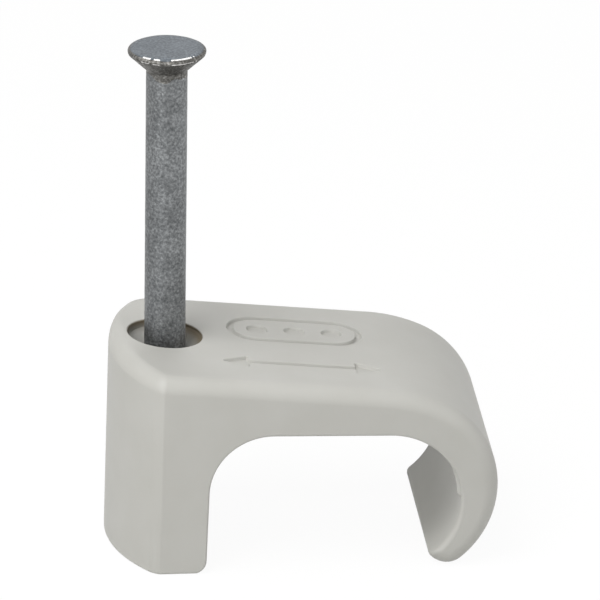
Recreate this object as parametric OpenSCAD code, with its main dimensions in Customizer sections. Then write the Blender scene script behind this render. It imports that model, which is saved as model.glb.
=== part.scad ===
// Nail-in clip for a flat cable: a moulded hook on a leg, with a nail held in the leg.
// Millimetres. The wall is the plane z = 0 and the nail's axis is the Z axis.
// The cable runs along Y, between the leg on the left and the hook on the right.

/* [Cable channel] */
// Clear width from the foot of the leg to the hook
channel_w = 14.15; // [12:0.05:17]
// Clear height under the bar, above the middle of the hook
channel_h = 8; // [7.4:0.1:9]
// Fall of the channel's roof towards the hook, in degrees
roof_fall = 1.2; // [0:0.1:3]
// Radius of the corner between the leg and the bar
roof_corner_r = 3.5; // [2:0.1:4.5]

/* [Bar and hook] */
// Depth of the clip along the cable
depth = 12.2; // [9:0.1:18]
// Thickness of the bar above the middle of the hook
bar_t = 2.52; // [2:0.02:3.5]
// Fall of the bar's top towards the hook, in degrees
top_fall = 5.45; // [3:0.05:7]
// Inner radius of the hook
hook_in_r = 4.05; // [3.6:0.05:4.3]
// Outer radius of the hook
hook_out_r = 5.65; // [5.4:0.05:6.2]
// Radius of the shoulder, where the bar bends into the hook
shoulder_r = 9.2; // [7:0.1:12]
// Angle above the level at which the shoulder passes into the hook's outer round
shoulder_turn = 65; // [55:1:75]
// Thickness of the hook at its widest
hook_wall = 2.1; // [1.7:0.1:2.6]
// Radius under the tip of the hook
tip_r = 1.25; // [1.05:0.05:1.5]
// Rounding of the top and outer edges, in front and around the leg
edge_r = 0.9; // [0.4:0.05:1]
// Rounding of the top and outer edges at the back
back_edge_r = 0.4; // [0.2:0.05:0.9]

/* [Leg] */
// Distance from the nail's axis to the leg's outer end, at the wall
leg_out = 3.36; // [2.9:0.02:4.5]
// Distance from the nail's axis to the leg's inner face, at the wall
leg_in = 1.82; // [1.7:0.02:2.6]
// Radius of the bowed outer end, seen from above
bow_r = 9.8; // [8:0.1:16]
// How far the crest of the bow lies behind the middle of the clip
bow_back = 0.25; // [0:0.05:0.6]
// Radius of the two upright corners of the outer end
leg_corner_r = 2; // [1.2:0.05:2.6]
// Draft of the leg's outer end, in degrees
out_draft = 1; // [0:0.1:2]
// Draft of the leg's inner face, in degrees
in_draft = 1.8; // [0:0.1:3]
// Rounding of the leg's inner foot
foot_r = 0.45; // [0.2:0.05:0.8]
// Rounding of the edges around the foot of the leg
foot_edge_r = 0.15; // [0.05:0.05:0.4]

/* [Nail hole] */
// How far the hole lies behind the middle of the clip
hole_back = 0.75; // [0:0.05:1]
// Width of the hole's mouth
mouth_d = 4.15; // [3.6:0.05:4.4]
// Depth of the straight wall of the mouth, above the countersink
mouth_depth = 0.35; // [0.2:0.05:0.8]
// Gap around the nail's shank in its bore, on the radius
bore_gap = 0.03; // [0.02:0.01:0.08]

/* [Nail] */
// Overall length of the nail
nail_len = 25; // [22:0.5:27]
// Diameter of the shank
shank_d = 2.3; // [2:0.05:2.6]
// Diameter of the head
head_d = 4.36; // [4:0.02:5]
// Rounding of the head's rim
rim_r = 0.2; // [0.1:0.02:0.3]
// Length of the four-sided point
point_len = 3; // [2:0.1:5]
// Height of the nail's top above the wall, before it is driven
nail_top = 28.65; // [27.6:0.05:30]

/* [Marking] */
// Depth of the engraved strokes
mark_depth = 0.2; // [0.1:0.02:0.3]
// Width of the engraved strokes
mark_stroke = 0.35; // [0.2:0.05:0.5]
// Distance from the nail's axis to the middle of the marking
mark_x = 7.4; // [6.6:0.1:8]
// Length of the cable sign, along the bar
sign_w = 7.6; // [5:0.1:8.4]
// Height of the cable sign, across the bar
sign_h = 3.4; // [2:0.1:4]
// Distance of the cable sign behind the middle of the clip
sign_back = 2.2; // [1.8:0.1:2.4]
// Length of the double arrow
arrow_w = 9; // [6:0.1:9.4]
// Length and width of the arrow's heads
arrow_head = 1.5; // [0.8:0.1:2]
// Distance of the arrow in front of the middle of the clip
arrow_front = 2.6; // [2.2:0.1:3.2]

/* [Hidden] */
$fn = 96;
// Facets around the small roundings of the moulding
round_fn = 32;
// Turn left between two rounds of the moulding where they touch, in degrees
seam = 3;
// Room by which a cut runs past the solid
over = 1;
mid_y = -hole_back;

// Leg's inner face: a point, and the normal into the channel
face_p = [leg_in, 0];
face_n = [cos(in_draft), -sin(in_draft)];
// Middle of the hook's inner round
in_x = leg_in + channel_w - hook_in_r;
in_z = channel_h - hook_in_r;
// Roof of the channel: a point where it touches the hook's inner round, and the normal downwards
roof_n = [-sin(roof_fall), -cos(roof_fall)];
roof_p = [in_x, in_z] - hook_in_r * roof_n;

// Height of the bar's top along the clip
function top_z(x) = channel_h + bar_t + (in_x - x) * tan(top_fall);
// Middles of the shoulder, which touches the top, and of the hook's outer round, which follows it inside
out_x = leg_in + channel_w + hook_wall - hook_out_r;
shoulder_x = out_x - (shoulder_r - hook_out_r) * cos(shoulder_turn);
shoulder_z = top_z(shoulder_x) - shoulder_r / cos(top_fall);
out_z = shoulder_z + (shoulder_r - hook_out_r) * sin(shoulder_turn);
// Middle of the round under the tip, which touches the outer round and the wall
tip_z = tip_r;
tip_x = out_x + sqrt(pow(hook_out_r - tip_r, 2) - pow(out_z - tip_z, 2));
tip_turn = atan2(tip_z - out_z, tip_x - out_x);

// Outer end of the leg, seen from above: a bow between two round corners, with s -1 in front and 1 at the back
corner_y = depth / 2 - leg_corner_r;
function corner_turn(s) = asin((corner_y - s * bow_back) / (bow_r - leg_corner_r));
function corner_x(s) = bow_r - (bow_r - leg_corner_r) * cos(corner_turn(s));
// Rounding of the top and outer edges on one side
function side_edge(s) = s < 0 ? edge_r : back_edge_r;
// Where the leg's outer end meets the rounding of the top, along the slope of the bar
rim_z = top_z(-leg_out) - edge_r;
rim_x = rim_z * tan(out_draft) - leg_out;
slope_rim_x = rim_x * cos(top_fall) + (top_z(0) - rim_z) * sin(top_fall);

// Rounding of the leg's inner foot, in flats: the angle at which it meets the wall, and its turn past it
foot_break = 25;
foot_past = 15;
foot_steps = 6;
foot_z = foot_r * cos(foot_break);
foot_p = [leg_in + foot_z * tan(in_draft) - foot_r / cos(in_draft), foot_z];
function foot_at(i) =
    let (turn = in_draft + (90 - foot_break + foot_past - in_draft) * i / foot_steps)
    foot_p + foot_r * [cos(turn), -sin(turn)];
// Amount by which the tip's underside clears the wall, beside the line on which it rests
tip_ease = 0.02;

// Bore of the nail, and its countersink at 45 degrees below the straight mouth
bore_d = shank_d + 2 * bore_gap;
sink_h = (mouth_d - bore_d) / 2;
sink_z = top_z(0) - mouth_depth - sink_h;

// Point where two lines meet, after each has moved along its normal by a distance
function lines_meet(p, n, q, m, d) =
    let (a = p * n + d, b = q * m + d, w = n[0] * m[1] - n[1] * m[0])
    [(a * m[1] - b * n[1]) / w, (b * n[0] - a * m[0]) / w];

// Rounded rim of a disc: the round of radius e at the edge of a disc of radius r
module rim(r, e, start, sweep) {
    rotate([0, 0, start]) rotate_extrude(angle = sweep) intersection() {
        translate([r - e, 0]) circle(e, $fn = round_fn);
        translate([0, -e]) square([r, 2 * e]);
    }
}

// Rim of the leg's outer end, seen from above, with the bow's crest at x = 0 and its rounds touching z = 0
module end_rim(front_e, back_e, up) {
    sweep = corner_turn(-1) + corner_turn(1) - 2 * seam;
    translate([corner_x(-1), -corner_y, up * front_e]) rim(leg_corner_r, front_e, 0, 360);
    translate([corner_x(1), corner_y, up * back_e]) rim(leg_corner_r, back_e, 0, 360);
    translate([bow_r, bow_back, up * front_e]) rim(bow_r, front_e, 180 - corner_turn(1) + seam, sweep);
}

// Front and back rims of a round that is seen from the side, with its middle at x and z
module side_rims(x, z, r, start, sweep) {
    for (s = [-1, 1])
        translate([x, s * (depth / 2 - side_edge(s)), z]) rotate([90, 0, 0])
            rim(r, side_edge(s), start, sweep);
}

// Frame of the bar's top: x down the slope, z outwards, with its origin above the nail
module on_top() {
    translate([0, 0, top_z(0)]) rotate([0, top_fall, 0]) children();
}

// Outside of the moulding, with its rounded edges, before the channel is taken out
module shell() {
    hull() {
        translate([-leg_out, 0, 0]) end_rim(foot_edge_r, foot_edge_r, 1);
        for (s = [-1, 1])
            translate([leg_in + over, s * (depth / 2 - foot_edge_r), foot_edge_r])
                sphere(foot_edge_r, $fn = round_fn);
        on_top() translate([slope_rim_x, 0, 0]) end_rim(edge_r, back_edge_r, -1);
        side_rims(shoulder_x, shoulder_z, shoulder_r, shoulder_turn, 90 - top_fall - shoulder_turn);
        side_rims(out_x, out_z, hook_out_r, tip_turn + seam, shoulder_turn - tip_turn - 2 * seam);
        side_rims(tip_x, tip_z, tip_r, -90, 90 + tip_turn);
    }
}

// Draws a profile of x and z across the whole depth of the clip
module across() {
    rotate([90, 0, 0]) linear_extrude(depth + 2 * over, center = true) children();
}

// Space for the cable, seen from the side and open towards the wall, with the leg's inner foot rounded
module channel_profile() {
    middle = lines_meet(face_p, face_n, roof_p, roof_n, roof_corner_r);
    polygon(concat([middle - roof_corner_r * face_n, middle, middle - roof_corner_r * roof_n, roof_p],
        [[in_x, -over], [foot_at(foot_steps)[0], -over]], [for (i = [foot_steps : -1 : 0]) foot_at(i)]));
    translate(middle) circle(roof_corner_r);
    translate([in_x, in_z]) circle(hook_in_r);
}

// Bar under the tip of the hook, with its front and back edges rounded
module tip_bar() {
    r = tip_r - tip_ease;
    front = depth / 2 - edge_r;
    back = depth / 2 - back_edge_r;
    translate([tip_x, 0, tip_z]) rotate([90, 0, 0]) rotate_extrude() {
        translate([0, -back]) square([r, back + front]);
        translate([0, -depth / 2]) square([r - back_edge_r, depth / 2 + front]);
        translate([0, -depth / 2]) square([r - edge_r, depth]);
        for (s = [-1, 1])
            translate([r - side_edge(s), s * (side_edge(s) - depth / 2)]) intersection() {
                circle(side_edge(s));
                translate([0, -side_edge(s)]) square([side_edge(s), 2 * side_edge(s)]);
            }
    }
}

// Way in for the cable, between the leg and the tip of the hook
module mouth() {
    difference() {
        across() polygon([[in_x, -over], [in_x, in_z], [tip_x, tip_z], [tip_x, -over]]);
        tip_bar();
    }
}

// Bore, countersink and mouth of the nail hole
module nail_hole() {
    translate([0, 0, -over]) cylinder(d = bore_d, h = top_z(0) + over);
    translate([0, 0, sink_z]) cylinder(d1 = bore_d, d2 = mouth_d, h = sink_h);
    translate([0, 0, sink_z + sink_h]) cylinder(d = mouth_d, h = mouth_depth + over);
}

// Plate with round ends along x
module stadium(w, h) {
    square([w - h, h], center = true);
    for (s = [-1, 1])
        translate([s * (w - h) / 2, 0]) circle(d = h);
}

// Sign of a flat cable with three cores
module cable_sign() {
    difference() {
        stadium(sign_w, sign_h);
        stadium(sign_w - 2 * mark_stroke, sign_h - 2 * mark_stroke);
    }
    for (s = [-1, 0, 1])
        translate([s * (sign_w - sign_h) / 2, 0]) circle(d = sign_h / 3);
}

// Arrow with a head at each end
module double_arrow() {
    square([arrow_w - arrow_head, mark_stroke], center = true);
    for (s = [-1, 1])
        polygon([[s * arrow_w / 2, 0], [s * (arrow_w / 2 - arrow_head), arrow_head / 2],
            [s * (arrow_w / 2 - arrow_head), -arrow_head / 2]]);
}

// Engraving on the bar's top
module marking() {
    on_top() translate([mark_x, mid_y, -mark_depth]) linear_extrude(mark_depth + over) {
        translate([0, sign_back]) cable_sign();
        translate([0, -arrow_front]) double_arrow();
    }
}

// Wedge across x with its edge on the origin, as wide as the shank at the length of the point
module point_wedge() {
    rotate([90, 0, 0]) linear_extrude(shank_d + over, center = true)
        polygon([[0, 0], [shank_d / 2, point_len], [shank_d / 2, nail_len], [-shank_d / 2, nail_len],
            [-shank_d / 2, point_len]]);
}

// Outline of the nail from its axis, with a countersunk head at 45 degrees and a round rim
module nail_outline() {
    rim_x = head_d / 2 - rim_r;
    rim_y = nail_len - rim_r;
    side_x = rim_x + rim_r * sin(45);
    side_y = rim_y - rim_r * cos(45);
    polygon([[0, 0], [shank_d / 2, 0], [shank_d / 2, side_y - side_x + shank_d / 2], [side_x, side_y],
        [rim_x, nail_len], [0, nail_len]]);
    translate([rim_x, rim_y]) circle(rim_r);
}

module clip_body() {
    color("gainsboro") difference() {
        translate([0, mid_y, 0]) difference() {
            shell();
            across() channel_profile();
            mouth();
        }
        nail_hole();
        marking();
    }
}

module nail() {
    color("slategray") translate([0, 0, nail_top - nail_len]) intersection() {
        rotate_extrude() nail_outline();
        union() {
            intersection() {
                point_wedge();
                rotate([0, 0, 90]) point_wedge();
            }
            translate([0, 0, point_len]) cylinder(d = 2 * head_d, h = nail_len);
        }
    }
}

clip_body();
nail();
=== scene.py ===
import math

import bmesh
import bpy
from mathutils import Matrix, Vector, noise

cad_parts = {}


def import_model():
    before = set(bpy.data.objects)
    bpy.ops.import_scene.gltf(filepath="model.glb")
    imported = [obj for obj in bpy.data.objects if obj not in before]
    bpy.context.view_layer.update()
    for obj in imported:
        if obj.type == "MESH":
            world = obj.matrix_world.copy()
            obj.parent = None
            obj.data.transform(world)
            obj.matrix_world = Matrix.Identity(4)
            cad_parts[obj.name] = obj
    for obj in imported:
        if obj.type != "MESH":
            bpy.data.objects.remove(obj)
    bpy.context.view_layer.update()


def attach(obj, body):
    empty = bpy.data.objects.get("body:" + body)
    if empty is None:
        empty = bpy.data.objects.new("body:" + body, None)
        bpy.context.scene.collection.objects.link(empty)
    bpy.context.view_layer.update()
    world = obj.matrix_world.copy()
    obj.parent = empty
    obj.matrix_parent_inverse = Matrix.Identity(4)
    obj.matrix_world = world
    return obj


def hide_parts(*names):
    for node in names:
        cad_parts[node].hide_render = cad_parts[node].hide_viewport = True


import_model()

# Sizes in millimetres, as in the part's source: only hook_wall and leg_out are a hair less, to stay inside
# its box, and foot_r is rounder, as the photo shows it
MM = 0.001
channel_w, channel_h, roof_fall, roof_corner_r = 14.15, 8.0, math.radians(1.2), 3.5
depth, bar_t, top_fall = 12.2, 2.52, math.radians(5.45)
hook_in_r, hook_out_r, hook_wall, tip_r = 4.05, 5.65, 2.096, 1.25
shoulder_r, shoulder_turn = 9.2, math.radians(65)
edge_r, back_edge_r = 0.9, 0.4
leg_out, leg_in, bow_r, bow_back, leg_corner_r = 3.355, 1.82, 9.8, 0.25, 2.0
out_draft, in_draft = math.radians(1), math.radians(1.8)
foot_r, foot_edge_r = 0.75, 0.15
mid_y, mouth_d, mouth_depth, bore_d = -0.75, 4.15, 0.35, 2.36
nail_len, shank_d, head_d, rim_r, point_len, nail_top = 25.0, 2.3, 4.36, 0.2, 3.0, 28.65
mark_depth, mark_stroke, mark_x = 0.2, 0.35, 7.4
sign_w, sign_h, sign_back = 7.6, 3.4, 2.2
arrow_w, arrow_head, arrow_front = 9.0, 1.5, 2.6
# Small roundings and forms that only show close up
channel_edge, tip_edge, tip_thick, tip_gap = 0.14, 0.26, 0.08, 0.01
front_end_edge, back_end_edge = 0.34, 0.2
front_r, crease_r, crease_turn = 1.3, 0.35, math.radians(20)
# Sliver of moulding flash: its height, its distances behind the front face, and the shares of the hook's
# inner round at which it starts and ends, with the lengths over which it rises and falls
flash_h, flash_near, flash_far = 0.22, 0.15, 0.4
flash_start, flash_rise, flash_end, flash_fall = 0.4, 0.2, 0.62, 0.02
# Head of the nail: the flat crown, the band of the edge that takes the painted highlight, the side, the cone,
# and the height above the cone's foot at which the wear starts
flat_r, glint_low_r, glint_high_r = 1.72, 1.94, 2.05
side_in, side_low, cone_slope, wear_start = 0.04, 0.13, 0.95, 0.9
# Small flat at the nail's point
point_flat = 0.02
# Wear and marks on the nail, and the stretches of the rim that take the painted highlight: places are angles
# about the axis in degrees, and the widths of the dent and of the grip marks with their painted shade are in
# radians
glint_stretches, glint_least = ((220, 255), (271, 313)), -0.2
dent_turn, dent_wide, dent_in, dent_down = 264, 0.13, 0.04, 0.05
grip_and_shade_turn, grip_and_shade_wide, grip_deep, grip_soft = 267, 0.42, 0.05, 0.1
crown_rough, rim_rough, shank_rough = 0.012, 0.025, 0.012
# Painted shade, brownish, on the upright wall of the nail hole: full down to the first of these depths below
# the rim and gone at the second
hole_shade_high, hole_shade_low, hole_shade_wide, hole_shade_lean = 0.2, 0.75, 0.06, 0.05
# Points of a cut that lie closer than this are one point
join_gap = 0.001
# Flat pieces round the top edge, the foot's edge and the nail
edge_steps, foot_steps, nail_sides = 12, 6, 180

in_x, in_z = leg_in + channel_w - hook_in_r, channel_h - hook_in_r


def top_z(x):
    return channel_h + bar_t + (in_x - x) * math.tan(top_fall)


out_x = leg_in + channel_w + hook_wall - hook_out_r
shoulder_x = out_x - (shoulder_r - hook_out_r) * math.cos(shoulder_turn)
shoulder_z = top_z(shoulder_x) - shoulder_r / math.cos(top_fall)
out_z = shoulder_z + (shoulder_r - hook_out_r) * math.sin(shoulder_turn)
tip_z = tip_r
tip_x = out_x + math.sqrt((hook_out_r - tip_r) ** 2 - (out_z - tip_z) ** 2)
tip_turn = math.atan2(tip_z - out_z, tip_x - out_x)


def steps(a, b, n):
    return [a + (b - a) * i / n for i in range(n + 1)]


def on_top(x, y, z):
    """A point of the bar's top frame: x down the slope, z outwards, origin above the nail."""
    c, s = math.cos(top_fall), math.sin(top_fall)
    return Vector((x * c + z * s, y, top_z(0) - x * s + z * c))


# Mesh helpers, all in millimetres

def mesh_of(name, verts, faces):
    mesh = bpy.data.meshes.new(name)
    mesh.from_pydata([tuple(v) for v in verts], [], faces)
    bm = bmesh.new()
    bm.from_mesh(mesh)
    bmesh.ops.recalc_face_normals(bm, faces=bm.faces)
    bm.to_mesh(mesh)
    bm.free()
    obj = bpy.data.objects.new(name, mesh)
    bpy.context.scene.collection.objects.link(obj)
    return obj


def tube(rings, close=False):
    """Vertices and faces of rings of equal length, joined in order.

    Its ends are flat faces, unless it closes on itself."""
    n = len(rings[0])
    verts = [p for ring in rings for p in ring]
    faces = []
    for i in range(len(rings) if close else len(rings) - 1):
        a, b = i * n, (i + 1) % len(rings) * n
        faces += [(a + j, a + (j + 1) % n, b + (j + 1) % n, b + j) for j in range(n)]
    if not close:
        faces += [tuple(range(n)), tuple(range((len(rings) - 1) * n, len(rings) * n))]
    return verts, faces


def outward(loop):
    """Mitred outward normals of a closed loop of points, drawn either way round."""
    n = len(loop)
    area = sum(loop[i - 1][0] * loop[i][1] - loop[i][0] * loop[i - 1][1] for i in range(n))
    turn = 1 if area > 0 else -1
    sides = []
    for i in range(n):
        dx, dy = loop[(i + 1) % n][0] - loop[i][0], loop[(i + 1) % n][1] - loop[i][1]
        size = math.hypot(dx, dy)
        sides.append((turn * dy / size, -turn * dx / size))
    normals = []
    for i in range(n):
        a, b = sides[i - 1], sides[i]
        k = 1 + a[0] * b[0] + a[1] * b[1]
        normals.append(((a[0] + b[0]) / k, (a[1] + b[1]) / k))
    return normals


def grown(loop, by):
    return [(p[0] + by * n[0], p[1] + by * n[1]) for p, n in zip(loop, outward(loop))]


def subtract(obj, cutters):
    for cutter in cutters:
        mod = obj.modifiers.new(cutter.name, "BOOLEAN")
        mod.operation, mod.solver, mod.object = "DIFFERENCE", "EXACT", cutter
    bpy.context.view_layer.update()
    made = bpy.data.meshes.new_from_object(obj.evaluated_get(bpy.context.evaluated_depsgraph_get()))
    obj.modifiers.clear()
    obj.data = made
    bm = bmesh.new()
    bm.from_mesh(made)
    bmesh.ops.remove_doubles(bm, verts=bm.verts, dist=join_gap)
    bmesh.ops.dissolve_degenerate(bm, edges=bm.edges, dist=join_gap)
    bm.to_mesh(made)
    bm.free()
    for cutter in cutters:
        bpy.data.objects.remove(cutter)


# Outside of the moulding: the hull of its rounded rims

def eased(k):
    k = min(1, max(0, k))
    return k * k * (3 - 2 * k)


def end_outline():
    """Points and normals of the leg's outer end, seen from above, with the bow's crest at x = 0.

    At the front it turns in two steps, which leave a soft ridge along the corner of the leg."""
    corner_y = depth / 2 - leg_corner_r
    back = math.asin((corner_y - bow_back) / (bow_r - leg_corner_r))
    back_x = bow_r - (bow_r - leg_corner_r) * math.cos(back)
    front_y = depth / 2 - crease_r - (front_r - crease_r) * math.cos(crease_turn)
    front = math.asin((front_y + bow_back) / (bow_r - front_r))
    front_x = bow_r - (bow_r - front_r) * math.cos(front)
    crease_x = front_x - (front_r - crease_r) * math.sin(crease_turn)
    ridge = math.pi * 1.5 - crease_turn
    arcs = [(back_x, corner_y, leg_corner_r, steps(math.pi / 2, math.pi - back, 20)),
            (bow_r, bow_back, bow_r, steps(math.pi - back, math.pi + front, 48)[1:-1]),
            (front_x, -front_y, front_r, steps(math.pi + front, ridge, 16)),
            (crease_x, crease_r - depth / 2, crease_r, steps(ridge, math.pi * 1.5, 8)[1:])]
    return [(x + r * math.cos(a), y + r * math.sin(a), math.cos(a), math.sin(a))
            for x, y, r, turns in arcs for a in turns]


def shell():
    pts = []
    rim_z = top_z(-leg_out) - edge_r
    rim_x = rim_z * math.tan(out_draft) - leg_out
    slope_x = rim_x * math.cos(top_fall) + (top_z(0) - rim_z) * math.sin(top_fall)
    for x, y, nx, ny in end_outline():
        for b in steps(-math.pi / 2, 0, foot_steps):
            inset = foot_edge_r * (1 - math.cos(b))
            pts.append(Vector((x - nx * inset - leg_out, y - ny * inset, foot_edge_r * (1 + math.sin(b)))))
        e = edge_r + (back_edge_r - edge_r) * eased(y / (depth / 2 - leg_corner_r))
        for b in steps(0, math.pi / 2, edge_steps):
            inset = e * (1 - math.cos(b))
            pts.append(on_top(x - nx * inset + slope_x, y - ny * inset, e * (math.sin(b) - 1)))
    # The foot's rim goes on past the leg's inner face, which the channel cuts
    past_leg = leg_in + 1
    for s, e in ((-1, edge_r), (1, back_edge_r)):
        for b in steps(-math.pi / 2, 0, foot_steps):
            pts.append(Vector((past_leg, s * (depth / 2 - foot_edge_r * (1 - math.cos(b))),
                               foot_edge_r * (1 + math.sin(b)))))
        arcs = [(shoulder_x, shoulder_z, shoulder_r, steps(shoulder_turn, math.pi / 2 - top_fall, 20)),
                (out_x, out_z, hook_out_r, steps(tip_turn, shoulder_turn, 60)[1:-1]),
                (tip_x, tip_z, tip_r, steps(-math.pi / 2, tip_turn, 14))]
        for x, z, r, turns in arcs:
            for a in turns:
                for b in steps(0, math.pi / 2, edge_steps):
                    reach = r - e * (1 - math.cos(b))
                    pts.append(Vector((x + reach * math.cos(a), s * (depth / 2 - e * (1 - math.sin(b))),
                                       z + reach * math.sin(a))))
    bm = bmesh.new()
    for p in pts:
        bm.verts.new(p)
    made = bmesh.ops.convex_hull(bm, input=bm.verts)
    loose = [v for v in made["geom_interior"] + made["geom_unused"] if isinstance(v, bmesh.types.BMVert)]
    bmesh.ops.delete(bm, geom=list(set(loose)), context="VERTS")
    bmesh.ops.dissolve_limit(bm, angle_limit=0.0005, verts=bm.verts, edges=bm.edges)
    bmesh.ops.recalc_face_normals(bm, faces=bm.faces)
    mesh = bpy.data.meshes.new("clip")
    bm.to_mesh(mesh)
    bm.free()
    obj = bpy.data.objects.new("clip", mesh)
    bpy.context.scene.collection.objects.link(obj)
    return obj


# Space for the cable, with small roundings at its front and back edges

def arc(x, z, r, a, b, n):
    return [(x + r * math.cos(t), z + r * math.sin(t)) for t in steps(a, b, n)]


def widened(e, t):
    """Growth of a cut at the distance t behind a face, where its edge is rounded by e."""
    return e - math.sqrt(max(0, e * e - (e - min(t, e)) ** 2))


def channel_loop(t, end_e, tip_e, flash):
    """The channel's outline, seen from the side, at the distance t behind the front or back face.

    Its edge is rounded by end_e at the end of the hook's inner round and by tip_e under the tip. Half way
    round the hook a sliver of flash stands up behind the edge, and widens towards the tip."""
    foot_start, foot_lean, tip_end, below = math.radians(-86), math.radians(12), math.radians(273), -1
    end_start = 0.5
    wide = widened(channel_edge, t)
    foot_z = foot_r * math.cos(foot_lean)
    foot_x = leg_in + foot_z * math.tan(in_draft) - foot_r / math.cos(in_draft)
    foot = arc(foot_x, foot_z, foot_r - wide, foot_start, -in_draft, 10)
    face_n = (math.cos(in_draft), -math.sin(in_draft))
    roof_n = (-math.sin(roof_fall), -math.cos(roof_fall))
    roof_p = (in_x - hook_in_r * roof_n[0], in_z - hook_in_r * roof_n[1])
    a = leg_in * face_n[0] + roof_corner_r
    b = roof_p[0] * roof_n[0] + roof_p[1] * roof_n[1] + roof_corner_r
    w = face_n[0] * roof_n[1] - face_n[1] * roof_n[0]
    corner_x, corner_z = (a * roof_n[1] - b * face_n[1]) / w, (b * face_n[0] - a * roof_n[0]) / w
    corner = arc(corner_x, corner_z, roof_corner_r + wide, math.pi - in_draft, math.pi / 2 - roof_fall, 28)
    # Round on the edge of the tip: it touches the inner round of the hook and the round under the tip
    full = tip_r - tip_gap
    r = full - widened(tip_e, t)
    small_r = tip_edge * r / full
    from_hook = hook_in_r - tip_thick + widened(end_e, t) + small_r
    from_tip = r - small_r
    gap = math.hypot(tip_x - in_x, tip_z - in_z)
    along = (from_hook ** 2 - from_tip ** 2 + gap ** 2) / (2 * gap)
    side = math.sqrt(from_hook ** 2 - along ** 2)
    ux, uz = (tip_x - in_x) / gap, (tip_z - in_z) / gap
    edge_x, edge_z = in_x + along * ux + side * uz, in_z + along * uz - side * ux
    inner = math.atan2(edge_z - in_z, edge_x - in_x)
    under = math.atan2(edge_z - tip_z, edge_x - tip_x) % (2 * math.pi)
    hook = []
    for k in steps(0, 1, 64):
        turn = math.pi / 2 - roof_fall + (inner - math.pi / 2 + roof_fall) * k
        late = eased((k - end_start) / (1 - end_start))
        reach = hook_in_r - tip_thick * late + widened(channel_edge + (end_e - channel_edge) * late, t)
        if flash_near < t < flash_far:
            rise, fall = (k - flash_start) / flash_rise, (flash_end - k) / flash_fall
            reach -= flash * min(max(0, rise), max(0, fall), 1)
        hook.append((in_x + reach * math.cos(turn), in_z + reach * math.sin(turn)))
    edge = arc(edge_x, edge_z, small_r, inner + math.pi, under, 10)[1:]
    tip = arc(tip_x, tip_z, r, under, tip_end, 20)[1:]
    return foot + corner + hook + edge + tip + [(tip[-1][0], below), (foot[0][0], below)]


def channel_cutter():
    # Distances of its rings behind the front and the back face, closest where the edge is roundest
    behind = [0, 0.008, 0.025, 0.05, 0.085, 0.13, 0.19, 0.27, 0.38, 0.52, 0.7, 0.9]
    front = (-1, front_end_edge, edge_r, flash_h, behind)
    back = (1, back_end_edge, back_edge_r, 0, behind[::-1])
    rings = []
    for side, end_e, tip_e, flash, order in (front, back):
        made = [[Vector((x, side * (depth / 2 - t), z)) for x, z in channel_loop(t, end_e, tip_e, flash)]
                for t in order]
        past = [p + Vector((0, side, 0)) for p in made[0 if side < 0 else -1]]
        rings += [past] + made if side < 0 else made + [past]
    return mesh_of("channel", *tube(rings))


# Nail hole, with its rims rounded

def hole_cutter():
    bore, mouth = bore_d / 2, mouth_d / 2
    sink_h = mouth - bore
    sink_z = top_z(0) - mouth_depth - sink_h
    sides = 128
    turns = [2 * math.pi * i / sides for i in range(sides)]
    # Rings below the mouth by height and radius, and rings of its rim by depth below the top and growth
    low_rim = [(-1, bore + 0.1), (0, bore + 0.1), (0.03, bore + 0.03), (0.1, bore)]
    sink_foot = [(sink_z - 0.06, bore), (sink_z + 0.02, bore + 0.03), (sink_z + 0.1, bore + 0.1)]
    sink_top = [(sink_z + sink_h - 0.05, mouth - 0.05), (sink_z + sink_h + 0.02, mouth)]
    mouth_rim = [(0.1, 0), (0.07, 0.005), (0.04, 0.02), (0.015, 0.05), (0, 0.1), (-1.2, 0.1)]
    rings = []
    for z, r in low_rim + sink_foot + sink_top:
        rings.append([Vector((r * math.cos(a), r * math.sin(a) - mid_y, z)) for a in turns])
    for down, wide in mouth_rim:
        r = mouth + wide
        rings.append([Vector((r * math.cos(a), r * math.sin(a) - mid_y, top_z(r * math.cos(a)) - down))
                      for a in turns])
    return mesh_of("hole", *tube(rings))


# Engraved sign and arrow, with sloping walls and soft edges

def stadium(w, h):
    left = arc(-(w - h) / 2, 0, h / 2, math.pi / 2, math.pi * 1.5, 24)
    right = arc((w - h) / 2, 0, h / 2, -math.pi / 2, math.pi / 2, 24)
    return left + right


def rounded(corners, r):
    """A closed outline with each of its corners rounded."""
    loop = []
    n, pieces = len(corners), 6
    for i in range(n):
        p, a, b = Vector(corners[i]), Vector(corners[i - 1]), Vector(corners[(i + 1) % n])
        u, v = (a - p).normalized(), (b - p).normalized()
        half = u.angle(v) / 2
        middle = p + (u + v).normalized() * r / math.sin(half)
        start, end = p + u * r / math.tan(half) - middle, p + v * r / math.tan(half) - middle
        for k in steps(0, 1, pieces):
            loop.append(tuple(middle + start.lerp(end, k).normalized() * r))
    return loop


def double_arrow():
    h, s, tip = arrow_head / 2, mark_stroke / 2, arrow_w / 2
    neck = tip - arrow_head
    half = [(neck, s), (neck, h), (tip, 0), (neck, -h), (neck, -s)]
    corner_r = 0.08
    return rounded(half + [(-x, -y) for x, y in half], corner_r)


# Height and growth of each ring of an engraved wall, from its floor to above the top
groove = [(-mark_depth, -0.07), (-mark_depth + 0.015, -0.035), (-mark_depth + 0.05, -0.01), (-0.06, 0.005),
          (-0.03, 0.02), (-0.01, 0.04), (0, 0.06), (0.25, 0.06)]


def placed(loop, z, dy):
    return [on_top(x + mark_x, y + dy, z) for x, y in loop]


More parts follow.
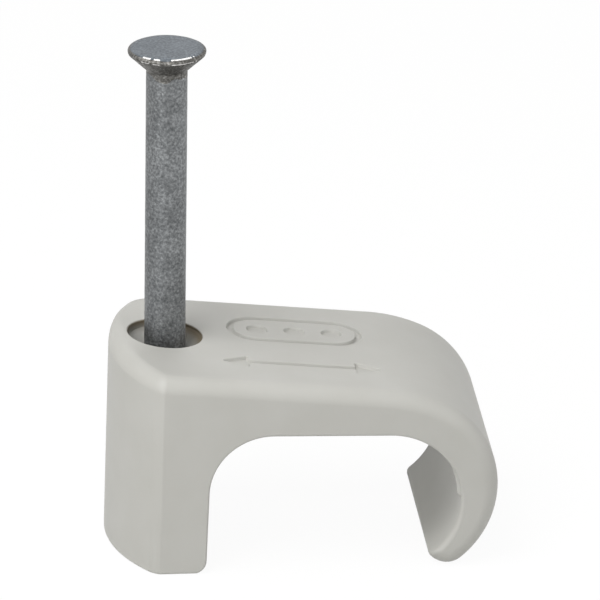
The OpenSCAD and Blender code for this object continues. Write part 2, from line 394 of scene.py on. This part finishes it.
def mark_cutters():
    outer, inner = stadium(sign_w, sign_h), stadium(sign_w - 2 * mark_stroke, sign_h - 2 * mark_stroke)
    walls = [placed(grown(outer, by), z, sign_back) for z, by in groove]
    walls += [placed(grown(inner, -by), z, sign_back) for z, by in reversed(groove)]
    made = [mesh_of("sign", *tube(walls, close=True))]
    core_sides = 48
    last_turn = 2 * math.pi * (core_sides - 1) / core_sides
    for i in (-1, 0, 1):
        core = arc(i * (sign_w - sign_h) / 2, 0, sign_h / 6, 0, last_turn, core_sides - 1)
        made.append(mesh_of("core", *tube([placed(grown(core, by), z, sign_back) for z, by in groove])))
    arrow = double_arrow()
    made.append(mesh_of("arrow", *tube([placed(grown(arrow, by), z, -arrow_front) for z, by in groove])))
    return made


def finished(obj, body, node, sharp):
    """Brings a piece from millimetres to the frame's metres, smooths it and puts it in its node's place."""
    obj.data.transform(Matrix.Scale(MM, 4))
    obj.data.polygons.foreach_set("use_smooth", [True] * len(obj.data.polygons))
    obj.data.set_sharp_from_angle(angle=math.radians(sharp))
    mod = obj.modifiers.new("normals", "WEIGHTED_NORMAL")
    mod.keep_sharp = True
    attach(obj, body)
    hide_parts(node)
    return obj


clip = shell()
subtract(clip, [channel_cutter(), hole_cutter()] + mark_cutters())
clip.data.transform(Matrix.Translation((0, mid_y, 0)))
finished(clip, "clip", "clip_body", sharp=32)


# Nail: a turned outline with a flat crown, grip marks below the head and a four-sided point

ZINC, GLINT, CROWN, SHADE = range(4)


def nail_outline():
    """Radius, height and kind of surface of each ring, from the point up to the crown."""
    shank, rim_z = shank_d / 2, nail_len - rim_r
    head, side_x, side_z = head_d / 2, head_d / 2 - side_in, rim_z - side_low
    cone_z = side_z - (side_x - shank) * cone_slope
    # The rings lie closer where the grip marks are, just below the cone
    grip_z, neck_z = cone_z - 1.6, cone_z - 0.06
    outline = [(point_flat + (shank - point_flat) * k, point_flat + (point_len - point_flat) * k, ZINC)
               for k in steps(0, 1, 24)]
    outline += [(shank, z, ZINC) for z in steps(point_len, grip_z, 60)[1:] + steps(grip_z, neck_z, 60)[1:]]
    # The cone under the head takes painted shade
    outline += [(shank + 0.02, cone_z + 0.01, SHADE)]
    outline += [(shank + (side_x - shank) * k, cone_z + (side_z - cone_z) * k, SHADE)
                for k in steps(0.08, 1, 20)]
    # A thin line low on the rim and a band of its round take the painted highlight where the rim mirrors the
    # lamps; the rim's outer side takes painted shade
    outline += [(head - 0.02, rim_z - 0.08, GLINT), (head - 0.004, rim_z - 0.03, SHADE), (head, rim_z, SHADE)]
    for a in steps(0, math.pi / 2, 24)[1:]:
        r = flat_r + (head - flat_r) * math.cos(a)
        kind = SHADE if r > glint_high_r else GLINT if r > glint_low_r else CROWN
        outline.append((r, rim_z + rim_r * math.sin(a), kind))
    outline += [(flat_r * (1 - k), nail_len, CROWN) for k in steps(0, 1, 18)[1:-1]]
    return outline, cone_z


def grip_and_shade_reach(a):
    """How far the grip marks, and the painted shade over them under the head, reach down the shank at an
    angle about it.
    """
    front_reach, reach, uneven = 0.42, 0.26, 0.5
    front = math.exp(-((a - math.radians(grip_and_shade_turn)) / grip_and_shade_wide) ** 2)
    wavy = noise.noise(Vector((math.cos(a) * 1.6, math.sin(a) * 1.6, 4)))
    return max(0, front_reach * front + reach + uneven * wavy)


def glint_at(a):
    """Whether the rim of the head takes the painted highlight, where it mirrors the lamps, at an angle about
    it.
    """
    stretch = any(low < math.degrees(a) < high for low, high in glint_stretches)
    return stretch and noise.noise(Vector((math.cos(a) * 4.2, math.sin(a) * 4.2, 7))) > glint_least


def nail_mesh():
    outline, cone_z = nail_outline()
    n = nail_sides
    rings = []
    for r0, z, kind in outline:
        ring = []
        for i in range(n):
            a = 2 * math.pi * i / n
            c, s = math.cos(a), math.sin(a)
            r, down = r0, 0
            if z < point_len:
                r = min(shank_d / 2, r0 / max(abs(c), abs(s)))
            elif z > cone_z + wear_start:
                # Uneven top and a small dent in the rim, as a nail's head is left by the heading die
                down = crown_rough * (0.5 + 0.5 * noise.noise(Vector((c * r0 * 1.7, s * r0 * 1.7, 3))))
                dent = math.exp(-((a - math.radians(dent_turn)) / dent_wide) ** 2) * eased((r0 - 1.5) / 0.5)
                wavy = 0.5 + 0.5 * noise.noise(Vector((c * 3, s * 3, 9)))
                r -= dent_in * dent + rim_rough * eased((r0 - 1.6) / 0.4) * wavy
                down += dent_down * dent
            else:
                wavy = 0.5 + 0.5 * noise.noise(Vector((c * 1.15, s * 1.15, z)) * 2.3)
                r -= shank_rough * wavy * min(1, r0)
                inside = z - cone_z + grip_and_shade_reach(a) + grip_soft
                if inside > 0:
                    place = Vector((c * 2.4, s * 2.4, z * 4.5 + 0.8 * c))
                    pit = max(0, noise.noise(place) + 0.6 * noise.noise(place * 2.3))
                    r -= grip_deep * pit * eased(inside / 0.15)
            ring.append(Vector((r * c, r * s, z - down + nail_top - nail_len)))
        rings.append(ring)
    obj = mesh_of("nail_steel", *tube(rings))
    for i in range(len(outline) - 1):
        for j in range(n):
            a = 2 * math.pi * (j + 0.5) / n
            kind = outline[i][2]
            # Painted shade under the head, over the grip marks, reaching down the shank
            if kind == ZINC and outline[i][1] > cone_z - grip_and_shade_reach(a):
                kind = SHADE
            # Away from the stretches with the painted highlight, the rim's band takes the crown's colour
            # above and painted shade below
            elif kind == GLINT and not glint_at(a):
                kind = CROWN if outline[i][1] > nail_len - rim_r else SHADE
            obj.data.polygons[i * n + j].material_index = kind
    obj.data.polygons[(len(outline) - 1) * n + 1].material_index = CROWN
    return obj


nail = nail_mesh()
finished(nail, "nail", "nail", sharp=38)


# Materials

def material(name):
    mat = bpy.data.materials.new(name)
    mat.use_nodes = True
    nodes = mat.node_tree.nodes
    shader = nodes["Principled BSDF"]
    return mat, nodes, mat.node_tree.links, shader


def noise_node(nodes, links, scale, detail, rough, coord):
    node = nodes.new("ShaderNodeTexNoise")
    node.inputs["Scale"].default_value = scale
    node.inputs["Detail"].default_value = detail
    node.inputs["Roughness"].default_value = rough
    links.new(coord, node.inputs["Vector"])
    return node


def ramp(nodes, links, source, stops):
    node = nodes.new("ShaderNodeValToRGB")
    while len(node.color_ramp.elements) < len(stops):
        node.color_ramp.elements.new(0.5)
    for element, (place, colour) in zip(node.color_ramp.elements, stops):
        element.position = place
        element.color = (*colour, 1)
    links.new(source, node.inputs["Fac"])
    return node


def spread(nodes, links, source, low, high, start=0, end=1):
    """A value from start to end brought to the range from low to high."""
    node = nodes.new("ShaderNodeMapRange")
    node.inputs["From Min"].default_value = start
    node.inputs["From Max"].default_value = end
    node.inputs["To Min"].default_value = low
    node.inputs["To Max"].default_value = high
    links.new(source, node.inputs["Value"])
    return node


def bump(nodes, links, source, strength, distance, before=None):
    node = nodes.new("ShaderNodeBump")
    node.inputs["Strength"].default_value = strength
    node.inputs["Distance"].default_value = distance
    links.new(source, node.inputs["Height"])
    if before:
        links.new(before.outputs["Normal"], node.inputs["Normal"])
    return node


def plastic():
    mat, nodes, links, shader = material("moulded_grey")
    coord = nodes.new("ShaderNodeTexCoord").outputs["Object"]
    cloud = noise_node(nodes, links, 420, 3, 0.5, coord)
    grain = noise_node(nodes, links, 7000, 4, 0.6, coord)
    colour = ramp(nodes, links, cloud.outputs["Fac"],
                  [(0.3, (0.485, 0.48, 0.447)), (0.7, (0.505, 0.5, 0.469))])
    # Painted shade, brownish, on the upright wall of the nail hole, which reaches deeper on the hook's side
    place = nodes.new("ShaderNodeSeparateXYZ")
    links.new(coord, place.inputs["Vector"])
    flat = nodes.new("ShaderNodeCombineXYZ")
    links.new(place.outputs["X"], flat.inputs["X"])
    links.new(place.outputs["Y"], flat.inputs["Y"])
    reach = nodes.new("ShaderNodeVectorMath")
    reach.operation = "LENGTH"
    links.new(flat.outputs["Vector"], reach.inputs[0])
    level = nodes.new("ShaderNodeVectorMath")
    level.operation = "DOT_PRODUCT"
    level.inputs[1].default_value = (math.tan(top_fall) + hole_shade_lean, 0, 1)
    links.new(coord, level.inputs[0])
    rim, mouth = top_z(0), mouth_d / 2
    inside = spread(nodes, links, reach.outputs["Value"], 1, 0, mouth * MM, (mouth + hole_shade_wide) * MM)
    height = spread(nodes, links, level.outputs["Value"], 0, 1,
                    (rim - hole_shade_low) * MM, (rim - hole_shade_high) * MM)
    both = nodes.new("ShaderNodeMath")
    both.operation = "MULTIPLY"
    links.new(inside.outputs["Result"], both.inputs[0])
    links.new(height.outputs["Result"], both.inputs[1])
    # Mixes the painted shade of the nail hole into the plastic's colour
    hole_shade = nodes.new("ShaderNodeMix")
    hole_shade.data_type = "RGBA"
    hole_shade.inputs["B"].default_value = (0.165, 0.133, 0.085, 1)
    links.new(both.outputs["Value"], hole_shade.inputs["Factor"])
    links.new(colour.outputs["Color"], hole_shade.inputs["A"])
    links.new(hole_shade.outputs["Result"], shader.inputs["Base Color"])
    rough = spread(nodes, links, grain.outputs["Fac"], 0.42, 0.56)
    links.new(rough.outputs["Result"], shader.inputs["Roughness"])
    fine = bump(nodes, links, grain.outputs["Fac"], 0.3, 0.000016)
    wave = bump(nodes, links, cloud.outputs["Fac"], 0.2, 0.00002, fine)
    links.new(wave.outputs["Normal"], shader.inputs["Normal"])
    shader.inputs["Specular IOR Level"].default_value = 0.4
    return mat


def steel(name, dark, middle, light, rough_low, rough_high, pit_depth):
    """A mottled metal with three colours, a range of roughness and fine pits."""
    mat, nodes, links, shader = material(name)
    coord = nodes.new("ShaderNodeTexCoord").outputs["Object"]
    cloud = noise_node(nodes, links, 700, 3, 0.5, coord)
    mottle = noise_node(nodes, links, 6600, 4, 0.6, coord)
    both = nodes.new("ShaderNodeMix")
    both.inputs["Factor"].default_value = 0.22
    links.new(mottle.outputs["Fac"], both.inputs["A"])
    links.new(cloud.outputs["Fac"], both.inputs["B"])
    colour = ramp(nodes, links, both.outputs["Result"], [(0.36, dark), (0.5, middle), (0.66, light)])
    links.new(colour.outputs["Color"], shader.inputs["Base Color"])
    rough = spread(nodes, links, mottle.outputs["Fac"], rough_low, rough_high)
    links.new(rough.outputs["Result"], shader.inputs["Roughness"])
    fine = bump(nodes, links, mottle.outputs["Fac"], 0.6, pit_depth)
    links.new(fine.outputs["Normal"], shader.inputs["Normal"])
    shader.inputs["Metallic"].default_value = 0.9
    return mat


clip.data.materials.clear()
clip.data.materials.append(plastic())
# The nail's materials, in the order of its kinds of surface: zinc, the painted highlight on the rim, the
# crown, and the painted shade under the head
nail.data.materials.append(steel("zinc_plated_steel",
                                 (0.098, 0.103, 0.106), (0.168, 0.175, 0.179), (0.288, 0.298, 0.304),
                                 0.36, 0.56, 0.00004))
# Painted highlight: bright colour on the polished rim, where it mirrors the lamps
nail.data.materials.append(steel("painted_highlight_steel",
                                 (0.3, 0.3, 0.29), (0.62, 0.61, 0.6), (0.9, 0.89, 0.87),
                                 0.16, 0.3, 0.00001))
nail.data.materials.append(steel("struck_crown",
                                 (0.045, 0.053, 0.062), (0.09, 0.103, 0.117), (0.16, 0.178, 0.195),
                                 0.34, 0.46, 0.00001))
# Painted shade under the head, on the rim's side and over the grip marks
nail.data.materials.append(steel("painted_shade_steel",
                                 (0.05, 0.049, 0.045), (0.115, 0.112, 0.104), (0.26, 0.255, 0.245),
                                 0.4, 0.6, 0.00006))


# Floor, light and camera

def seen_directly(nodes, links):
    """1 for rays from the camera and for those that mirror or pass through a surface, and 0 for light."""
    path = nodes.new("ShaderNodeLightPath")
    seen = path.outputs["Is Camera Ray"]
    for name in ("Is Glossy Ray", "Is Transmission Ray"):
        most = nodes.new("ShaderNodeMath")
        most.operation = "MAXIMUM"
        links.new(seen, most.inputs[0])
        links.new(path.outputs[name], most.inputs[1])
        seen = most.outputs["Value"]
    return seen


def floor():
    half, z = 1.5, -0.00002
    verts = [(-half, -half, z), (half, -half, z), (half, half, z), (-half, half, z)]
    mesh = bpy.data.meshes.new("floor")
    mesh.from_pydata(verts, [], [(0, 1, 2, 3)])
    obj = bpy.data.objects.new("floor", mesh)
    bpy.context.scene.collection.objects.link(obj)
    mat, nodes, links, shader = material("pale_floor")
    shader.inputs["Base Color"].default_value = (0.62, 0.62, 0.61, 1)
    shader.inputs["Roughness"].default_value = 0.9
    white = nodes.new("ShaderNodeEmission")
    white.inputs["Color"].default_value = (1, 1, 1, 1)
    white.inputs["Strength"].default_value = 1.05
    share = spread(nodes, links, seen_directly(nodes, links), 0, 0.9)
    mixed = nodes.new("ShaderNodeMixShader")
    links.new(share.outputs["Result"], mixed.inputs["Fac"])
    links.new(shader.outputs["BSDF"], mixed.inputs[1])
    links.new(white.outputs["Emission"], mixed.inputs[2])
    links.new(mixed.outputs["Shader"], nodes["Material Output"].inputs["Surface"])
    mesh.materials.append(mat)


def world():
    made = bpy.data.worlds.new("studio")
    bpy.context.scene.world = made
    made.use_nodes = True
    nodes, links = made.node_tree.nodes, made.node_tree.links
    fill_light, white = 0.08, 1
    strength = spread(nodes, links, seen_directly(nodes, links), fill_light, white)
    background = nodes["Background"]
    background.inputs["Color"].default_value = (1, 1, 1, 1)
    links.new(strength.outputs["Result"], background.inputs["Strength"])


def lamp(name, az, el, level):
    """A square soft box at an azimuth and elevation.

    At level 1 it alone shows a surface that faces it in the surface's own colour."""
    far, size, middle = 0.2, 0.14, Vector((0.007, -0.001, 0.01))
    data = bpy.data.lights.new(name, "AREA")
    data.energy, data.size = level * (math.pi * far) ** 2, size
    obj = bpy.data.objects.new(name, data)
    bpy.context.scene.collection.objects.link(obj)
    a, e = math.radians(az), math.radians(el)
    aim = Vector((math.cos(e) * math.sin(a), -math.cos(e) * math.cos(a), math.sin(e)))
    obj.location = middle + aim * far
    obj.rotation_mode = "QUATERNION"
    obj.rotation_quaternion = (-aim).to_track_quat("-Z", "Y")


def camera():
    az, el, roll = math.radians(-5.9), math.radians(22.5), math.radians(-0.81)
    # Distance in millimetres, then the focal length and the picture's width in pixels, and the pixel at which
    # the nail's axis meets the top
    far, focal, picture, axis_across, axis_down = 490, 8820, 600, 164.8, 332.9
    back = Vector((math.sin(az) * math.cos(el), -math.cos(az) * math.cos(el), math.sin(el)))
    level = Vector((math.cos(az), math.sin(az), 0))
    upright = back.cross(level)
    right = level * math.cos(roll) - upright * math.sin(roll)
    up = level * math.sin(roll) + upright * math.cos(roll)
    per_mm = focal / far
    across, rise = (axis_across - picture / 2) / per_mm, (picture / 2 - axis_down) / per_mm
    place = Vector((0, 0, top_z(0))) + back * far - right * across - up * rise
    data = bpy.data.cameras.new("camera")
    sensor = 36
    data.sensor_width, data.lens = sensor, focal / picture * sensor
    data.clip_start, data.clip_end = 0.01, 10
    obj = bpy.data.objects.new("camera", data)
    bpy.context.scene.collection.objects.link(obj)
    turn = Matrix((right, up, back)).transposed().to_4x4()
    obj.matrix_world = Matrix.Translation(place * MM) @ turn
    bpy.context.scene.camera = obj


floor()
world()
lamp("key", -60, 60, 0.705)
lamp("left", -35, 20, 0.425)
lamp("right", 50, 20, 0.21)
lamp("side", 90, 6, 0.25)
lamp("back", 180, 50, 0.19)
lamp("top", 0, 75, 0.06)
camera()
bpy.context.scene.view_settings.view_transform = "Standard"
